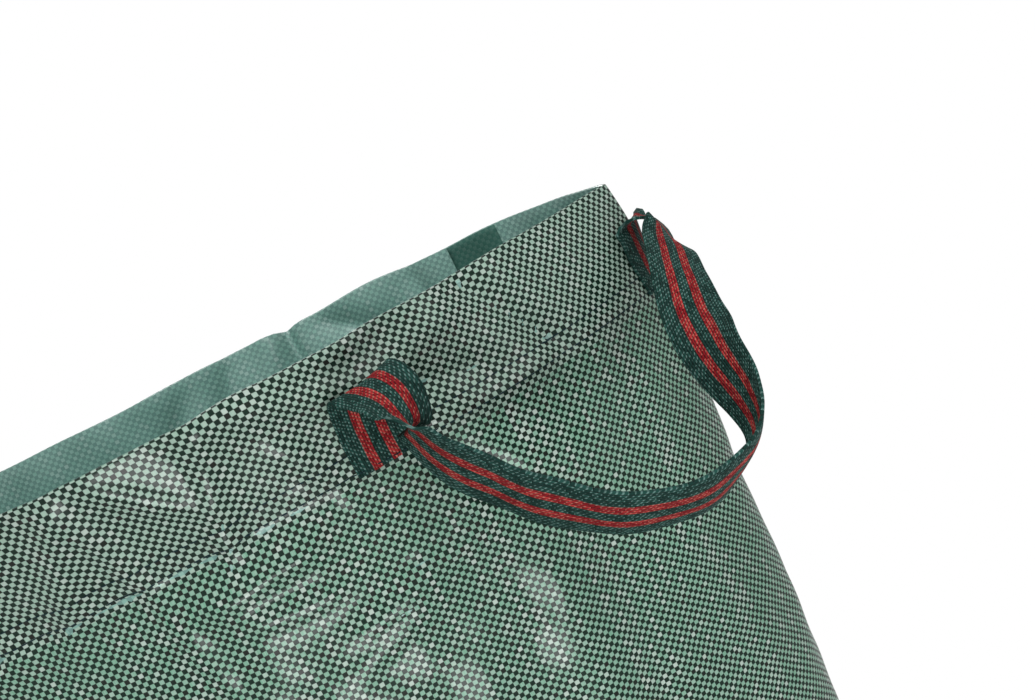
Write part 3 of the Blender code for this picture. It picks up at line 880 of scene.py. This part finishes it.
def webbing(name, ribs):
    """A strap along ribs: where each one's middle is, how its width lies, and how far its edges sag."""
    centres, widths, sags = (np.array([list(rib[part]) for rib in ribs]) for part in range(3))
    fine = np.linspace(0.0, 1.0, ROUTE_PLACES)
    along = lengths_along(smooth_route(centres, fine))
    count = int(along[-1] / STRAP_STEP)
    travel = np.linspace(0.0, along[-1], count + 1)
    shares = np.interp(travel, along, fine)
    route = smooth_route(centres, shares)
    ahead = unit(np.gradient(route, axis=0))
    width = smooth_route(widths, shares)
    lengths = smooth_route(np.linalg.norm(widths, axis=1, keepdims=True), shares)
    width = unit(width - ahead * (width * ahead).sum(1, keepdims=True))
    sag = smooth_route(sags, shares)
    face = np.cross(width, ahead)
    across, rise = webbing_section()
    draw = np.random.default_rng(len(name))
    limp = np.zeros((count + 1, len(across)))
    for _ in range(LIMP_WAVES):
        phase = draw.uniform(0.0, 2 * math.pi)
        turns = 2 * math.pi / draw.uniform(*LIMP_LENGTHS)
        slant = draw.uniform(-LIMP_SLANT, LIMP_SLANT)
        limp += LIMP * np.sin(travel[:, None] * turns + phase + across[None, :] * slant)
    from_end = np.minimum(travel, travel[-1] - travel)[:, None]
    free = np.clip(from_end / EASING, 0.0, 1.0)
    curl = CURL * np.clip((from_end - CURL_START) / EASING, 0.001, 1.0)
    edge = (1.0 - np.cos(curl * WEBBING_WIDTH / 2)) / curl
    cup = (1.0 - np.cos(curl * across)) / curl - edge
    rise = rise[None, :] * WEBBING_THICKNESS / 2 + limp * free + cup
    bent = np.sin(curl * across) / curl
    rows = route[:, None] + (width * lengths)[:, None] * bent[..., None] + face[:, None] * rise[..., None]
    rows = rows + sag[:, None] * ((across / (WEBBING_WIDTH / 2)) ** 2)[None, :, None]
    uvs = {"cloth": cloth_map(np.append(across, across[0]), travel)}
    strap = grid_object(name, rows, uvs, [WEBBING_FINISH], [0] * count)
    return filled(strap), along[-1]


# The handles
# Each is a length of webbing sewn flat at both ends, which folds outwards and hangs in a loop. Two
# carry the bag at the rim; the front one hangs twisted, as it fell. The third, low on the back, tips it.
# Ribs of a loop. Each has its place from the hinge, in millimetres: along the handle, out from the bag
# and up. Then comes its width's way along, out and up, shorter where the strap is gathered.
CARRYING_LOOP = (
    (0, 7, -3, 0.93, 0.34, 0.15),
    (1, 19, -4, 0.96, 0.17, 0.23),
    (2, 28, -10, 1.00, 0.00, 0.00),
    (1, 34, -20, 0.74, -0.10, -0.66),
    (-1, 36, -25, 0.32, -0.79, -0.53),
    (0, 36.5, -29, -0.14, -0.99, 0.05),
    (6, 39, -43, 0.10, -0.60, -0.79),
    (15, 46, -60, 0.10, -0.47, -0.88),
    (29, 62, -80, 0.11, -0.49, -0.87),
    (52, 83, -99, 0.07, -0.67, -0.74),
    (80, 97, -108, 0.08, -0.69, -0.72),
    (104, 101, -105, 0.05, -0.70, -0.70),
    (121, 98, -97, 0.05, -0.75, -0.66),
    (131, 89, -86, -0.12, -0.80, -0.58),
    (139.5, 72.5, -68, -0.50, -0.76, -0.42),
    (154, 53, -50.5, -0.92, -0.36, 0.05),
    (169, 38, -34.5, -0.94, -0.12, 0.28),
    (181, 26, -24.5, -0.92, 0.10, 0.38),
    (190, 15, -18, -0.82, 0.45, 0.35),
    (194.5, 9, -12.5, -0.66, 0.68, 0.18),
    (193.5, 4, -7.5, -0.58, 0.68, 0.10),
    (190.5, -0.5, -5, -0.52, 0.62, 0.08),
)


# The back handle's ends lie on flat cloth, so its loop leaves them square. Between them it hangs as the
# front one does.
PLAIN_START = (
    (0, 4, 2.5, 1.00, 0.00, 0.00),
    (0, 15, 1, 1.00, 0.00, 0.00),
    (1, 26, -8, 1.00, 0.00, 0.00),
)
PLAIN_END = (
    (168, 41, -40, -0.95, -0.20, 0.15),
    (180, 27, -22, -0.98, -0.05, 0.15),
    (185, 15, -4, -1.00, 0.00, 0.00),
    (186, 4, 2.5, -1.00, 0.00, 0.00),
)


PLAIN_LOOP = PLAIN_START + CARRYING_LOOP[3:16] + PLAIN_END
# The tipping handle's loop, also in millimetres: its length along, how far out its folds and its middle
# are, and how far it hangs.
TIPPING_CHORD = 169.1
TIPPING_FOLD = 2.2
TIPPING_REACH = 44.0
TIPPING_HANG = 45.0


def tipping_loop():
    """The ribs of one plain bow, between two that leave the sewn ends square."""
    ribs = [(0.0, 4.0, 2.5, 1.0, 0.0, 0.0)]
    for turn in np.linspace(0.0, math.pi, 9)[1:-1]:
        sag = math.sin(turn)
        near = TIPPING_CHORD * (1.0 - math.cos(turn)) / 2
        out = TIPPING_FOLD + (TIPPING_REACH - TIPPING_FOLD) * sag
        ribs.append((near, out, -TIPPING_HANG * sag**1.2, math.cos(turn), 0.0, -(sag**2)))
    ribs.append((TIPPING_CHORD, 4.0, 2.5, -1.0, 0.0, 0.0))
    return ribs


# A sewn end's ribs go this share of the way up it, and it leaves the wall in a curve of this power.
SEWN_SHARES = np.linspace(0.0, 0.9, 7)
LEAVING = 1.6


def sewn_ribs(foot_around, lean, standoff, foot, flat, rise, outward, way):
    """Ribs up one sewn end: round the wall at first, then leaning out. Way is 1 where the width goes
    rightwards as seen from outside."""
    ribs = []
    half = WEBBING_WIDTH / 2
    lying = WEBBING_THICKNESS / 2 + SEAT
    for share in SEWN_SHARES:
        up = foot + rise * share
        around = foot_around + lean * share
        free = max(up - foot - flat, 0.0) / (rise - flat)
        middle = on_wall(around, up, lying)
        plus = on_wall(around - way * half, up, lying)
        minus = on_wall(around + way * half, up, lying)
        lift = outward * (standoff * free**LEAVING)
        ribs.append((middle + lift, (plus - minus) / WEBBING_WIDTH, (plus + minus) / 2 - middle))
    return ribs


def make_handle(handle, left, right, foot, flat, rise, loop):
    joint = next(joint for joint in frame["joints"] if joint["child"] == handle)
    hinge = Vector(joint["pos_m"])
    along = -Vector(joint["axis"])
    outward = Vector((along.y, -along.x, 0.0))
    up = Vector((0.0, 0.0, 1.0))
    ribs = sewn_ribs(*left, foot, flat, rise, outward, 1.0)
    for near, out, high, width_along, width_out, width_up in loop:
        place = hinge + (along * near + outward * out + up * high) / 1000.0
        width = along * width_along + outward * width_out + up * width_up
        ribs.append((place, width, Vector()))
    ribs += sewn_ribs(*right, foot, flat, rise, outward, -1.0)[::-1]
    strap, length = webbing(handle + "_webbing", ribs)
    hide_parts(handle + "_end_left", handle + "_end_right", handle + "_loop")
    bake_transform(strap)


# For each sewn end: its place round the wall, how far it leans sideways, and how far its top stands off.
FRONT_HANDLE = ((0.200, -0.003, 0.0105), (0.008, 0.0, 0.0085))
BACK_HANDLE = ((GIRTH / 2 + 0.257, 0.0, 0.0105), (GIRTH / 2 + 0.070, 0.0, 0.0105))
TIPPING_HANDLE = ((GIRTH * 3 / 4 + 0.085, 0.0, 0.0070), (GIRTH * 3 / 4 - 0.085, 0.0, 0.0070))
# The height of the handle's foot, and how far above it the sewn part and the fold end.
CARRYING_HEIGHTS = (HEM_FOOT, 0.0106, 0.045)
TIPPING_HEIGHTS = (0.085, 0.022, 0.038)
make_handle("front_handle", *FRONT_HANDLE, *CARRYING_HEIGHTS, CARRYING_LOOP)
make_handle("back_handle", *BACK_HANDLE, *CARRYING_HEIGHTS, PLAIN_LOOP)
make_handle("tipping_handle", *TIPPING_HANDLE, *TIPPING_HEIGHTS, tipping_loop())


# The stitching
# Bonded dark thread, in stitches that dip at both ends. Two rows hold the hem, the lower one over the
# carrying handles' ends. Two run down the side seam, one round the bottom, and crossed boxes hold the
# tipping handle.
STITCH = 0.0040
STITCH_GAP = 0.0007
THREAD = 0.00034
THREAD_SIDES = 6
THREAD_COLOUR = (0.004, 0.020, 0.026)
# Along a stitch: how thick it is, and how high its middle lies, in threads.
STITCH_THICKNESS = (0.35, 0.8, 1.0, 1.0, 1.0, 0.8, 0.35)
STITCH_LIFT = (-0.8, 0.3, 0.8, 0.9, 0.8, 0.3, -0.8)
# How fine the thread's twist is, and how deep.
TWIST = 900.0
TWIST_DEPTH = 0.00008


def thread_finish():
    finish = Finish("dark_thread", roughness=0.7, specular_ior_level=0.15)
    finish.set(base_color=THREAD_COLOUR)
    place = finish.node("TexCoord", output="Object")
    wave = finish.node("TexWave", {"bands_direction": "DIAGONAL"}, {"Vector": place, "Scale": TWIST})
    finish.bump(wave, TWIST_DEPTH)
    return finish.material


THREAD_FINISH = thread_finish()


def stitches(name, paths):
    """Stitches along paths of (place, way out of the cloth), one mesh for them all."""
    sides = THREAD_SIDES
    rings = len(STITCH_LIFT)
    turn = np.arange(sides) / sides * 2 * math.pi
    share = np.linspace(0.0, 1.0, rings)
    thick = THREAD * np.array(STITCH_THICKNESS)
    lift = THREAD * np.array(STITCH_LIFT)
    blocks = []
    for starts, ends, outs in paths:
        ahead = unit(ends - starts)
        side = np.cross(outs, ahead)
        route = starts[:, None] + (ends - starts)[:, None] * share[None, :, None]
        route = route + outs[:, None] * lift[None, :, None]
        ring = np.cos(turn)[:, None] * side[:, None] + np.sin(turn)[:, None] * outs[:, None]
        blocks.append(route[:, :, None] + ring[:, None] * thick[:, None, None])
    places = np.concatenate(blocks)
    count = len(places)
    first = np.arange(count)[:, None, None] * rings * sides
    i, j = np.meshgrid(np.arange(rings - 1), np.arange(sides), indexing="ij")
    corner = [(i, j), (i, (j + 1) % sides), (i + 1, (j + 1) % sides), (i + 1, j)]
    quads = np.stack([first + a * sides + b for a, b in corner], -1).reshape(-1, 4)
    start_caps = first[:, 0] + np.arange(sides)[::-1]
    end_caps = first[:, 0] + (rings - 1) * sides + np.arange(sides)
    ends = np.concatenate([start_caps, end_caps])
    mesh = bpy.data.meshes.new(name)
    mesh.from_pydata(places.reshape(-1, 3).tolist(), [], quads.tolist() + ends.tolist())
    mesh.shade_smooth()
    mesh.materials.append(THREAD_FINISH)
    thing = placed(name, mesh)
    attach(thing, "bag")


def stitch_path(route, outward):
    """Stitches along a route of places (round the wall, up it, out of it)."""
    points = np.array([on_wall(*place) for place in route])
    along = lengths_along(points)
    count = max(round(along[-1] / (STITCH + STITCH_GAP)), 1)
    marks = np.linspace(0.0, along[-1], count + 1)
    gap = STITCH_GAP / 2

    def places_at(travel):
        return np.stack([np.interp(travel, along, points[:, axis]) for axis in range(3)], 1)

    starts = places_at(marks[:-1] + gap)
    ends = places_at(marks[1:] - gap)
    middles = marks[:-1] + STITCH / 2
    around, up = (np.interp(middles, along, [place[axis] for place in route]) for axis in (0, 1))
    outs = [on_wall(u, h, 1.0) - on_wall(u, h) for u, h in zip(around, up)]
    return starts, ends, unit(np.array(outs) * outward)


# Places that a row is measured at, round the whole hem and in a straight row.
HEM_PLACES = 1400
ROW_PLACES = 60
LOWER_STITCHES = LOWER_ROW + 0.0008
BOTTOM_STITCHES = 0.009
# The side seam's two rows: how far each is from its middle, and where they start and stop.
SEAM_ROWS = (-0.004, 0.004)
SEAM_ROWS_FOOT = 0.02
SEAM_ROWS_TOP = HEM_EDGE - 0.012
# The boxes on the tipping handle's ends.
TACK_FOOT = 0.088
TACK_TOP = 0.103
TACK_INSET = 0.003


def hem_row(up, over_handles):
    """One row round the hem. The lower one also goes over the sewn ends of the carrying handles."""
    route = []
    for around in np.linspace(0.0, GIRTH, HEM_PLACES):
        out = 0.0
        for sewn, _, _ in FRONT_HANDLE + BACK_HANDLE:
            if over_handles and abs((around - sewn + GIRTH / 2) % GIRTH - GIRTH / 2) < WEBBING_WIDTH / 2:
                out = WEBBING_THICKNESS + SEAT
        route.append((around, up, out))
    return stitch_path(route, 1.0)


def straight_row(start, end, out, outward=1.0):
    across = np.linspace(start[0], end[0], ROW_PLACES)
    up = np.linspace(start[1], end[1], ROW_PLACES)
    return stitch_path([(u, h, out) for u, h in zip(across, up)], outward)


def make_stitching():
    inner = -2 * SHEET - FOLD_GAP
    hem = [hem_row(UPPER_ROW, False), hem_row(LOWER_STITCHES, True)]
    for up in (UPPER_ROW, LOWER_STITCHES):
        hem.append(straight_row((0.0, up), (SEAM_START, up), inner, -1.0))
    stitches("hem_stitching", hem)
    seam = []
    for off in SEAM_ROWS:
        place = (SEAM_START + SEAM_END) / 2 + off
        seam.append(straight_row((place, SEAM_ROWS_FOOT), (place, SEAM_ROWS_TOP), 0.0))
    stitches("side_seam_stitching", seam)
    stitches("bottom_stitching", [straight_row((0.0, BOTTOM_STITCHES), (GIRTH, BOTTOM_STITCHES), 0.0)])
    tacks = []
    out = WEBBING_THICKNESS + SEAT
    for middle, _, _ in TIPPING_HANDLE:
        right = middle - WEBBING_WIDTH / 2 + TACK_INSET
        left = middle + WEBBING_WIDTH / 2 - TACK_INSET
        corners = [(right, TACK_FOOT), (left, TACK_FOOT), (left, TACK_TOP), (right, TACK_TOP)]
        for start, end in zip(corners, corners[1:] + corners[:1]):
            tacks.append(straight_row(start, end, out))
        tacks.append(straight_row(corners[0], corners[2], out))
        tacks.append(straight_row(corners[1], corners[3], out))
    stitches("tipping_handle_stitching", tacks)


make_stitching()


# The floor, the lamps and the camera
# The floor is pale and turns white away from the bag. A small lamp low in front gives the film its gloss,
# a large one overhead lights the bag, and weaker ones stand at the right and behind.
FLOOR_DROP = 0.0005
WHITE_FROM = 0.30
WHITE_AT = 0.65


def seen_ray(nodes):
    """1 for what the camera sees, straight or by gloss or glass, and 0 for the light on things."""
    camera = nodes.node("LightPath", output="Is Camera Ray")
    glossy = nodes.node("LightPath", output="Is Glossy Ray")
    transmission = nodes.node("LightPath", output="Is Transmission Ray")
    return camera.larger(glossy).larger(transmission)


def make_floor():
    bpy.ops.mesh.primitive_plane_add(size=60.0, location=(0.0, 0.0, -FLOOR_DROP))
    floor = bpy.context.object
    floor.name = "floor"
    finish = Finish("pale_floor", base_color=(0.90, 0.90, 0.90), roughness=0.9, specular_ior_level=0.1)
    place = finish.node("NewGeometry")
    distance = finish.node("VectorMath", {"operation": "LENGTH"}, {0: place}, output=1)
    white = finish.node("Emission", sockets={"Color": (1.0, 1.0, 1.0), "Strength": 1.0})
    pale = Wire(finish, finish.shader.outputs[0])
    share = seen_ray(finish) * distance.eased(WHITE_FROM, WHITE_AT)
    mixed = finish.node("MixShader", sockets={0: share, 1: pale, 2: white})
    finish.feed(finish.tree.nodes["Material Output"].inputs["Surface"], mixed)
    floor.data.materials.append(finish.material)


def make_lamp(name, place, aim, size, watts):
    lamp = bpy.data.lights.new(name, "AREA")
    lamp.shape = "RECTANGLE"
    lamp.size, lamp.size_y = size
    lamp.energy = watts
    thing = placed(name, lamp)
    thing.location = place
    thing.rotation_euler = (Vector(aim) - Vector(place)).to_track_quat("-Z", "Y").to_euler()


def make_world(strength):
    """White where it is seen, and weak as light."""
    world = bpy.data.worlds.new("studio")
    bpy.context.scene.world = world
    world.use_nodes = True
    nodes = Nodes(world.node_tree)
    background = nodes.tree.nodes["Background"]
    nodes.feed(background.inputs["Color"], (1.0, 1.0, 1.0))
    nodes.feed(background.inputs["Strength"], seen_ray(nodes) * (1.0 - strength) + strength)


def make_camera():
    """The photograph shows the top right of the bag from the front left, held tilted."""
    right = Vector((0.89879, -0.02722, -0.43754))
    down = Vector((-0.43340, -0.20516, -0.87754))
    ahead = Vector((-0.06588, 0.97835, -0.19619))
    eye = Vector((0.2632, -0.5884, 0.8138))
    camera = placed("camera", bpy.data.cameras.new("camera"))
    turn = Matrix((right, -down, -ahead)).transposed()
    camera.matrix_world = Matrix.Translation(eye) @ turn.to_4x4()
    camera.data.sensor_width = 36.0
    camera.data.lens = 36.55
    camera.data.clip_start = 0.01
    bpy.context.scene.camera = camera


make_floor()
make_lamp("front", place=(0.12, -1.1, 0.07), aim=(0.1, -0.1, 0.72), size=(0.42, 0.42), watts=8.0)
make_lamp("overhead", place=(0.3, -1.2, 2.4), aim=(0.0, 0.0, 0.65), size=(1.2, 1.2), watts=34.0)
make_lamp("right", place=(1.9, -1.3, 1.4), aim=(0.1, 0.0, 0.5), size=(0.9, 1.4), watts=9.0)
make_lamp("back", place=(-0.5, 2.4, 1.7), aim=(0.0, 0.0, 0.4), size=(1.2, 1.2), watts=24.0)
make_world(0.16)
make_camera()
bpy.context.scene.view_settings.view_transform = "Standard"
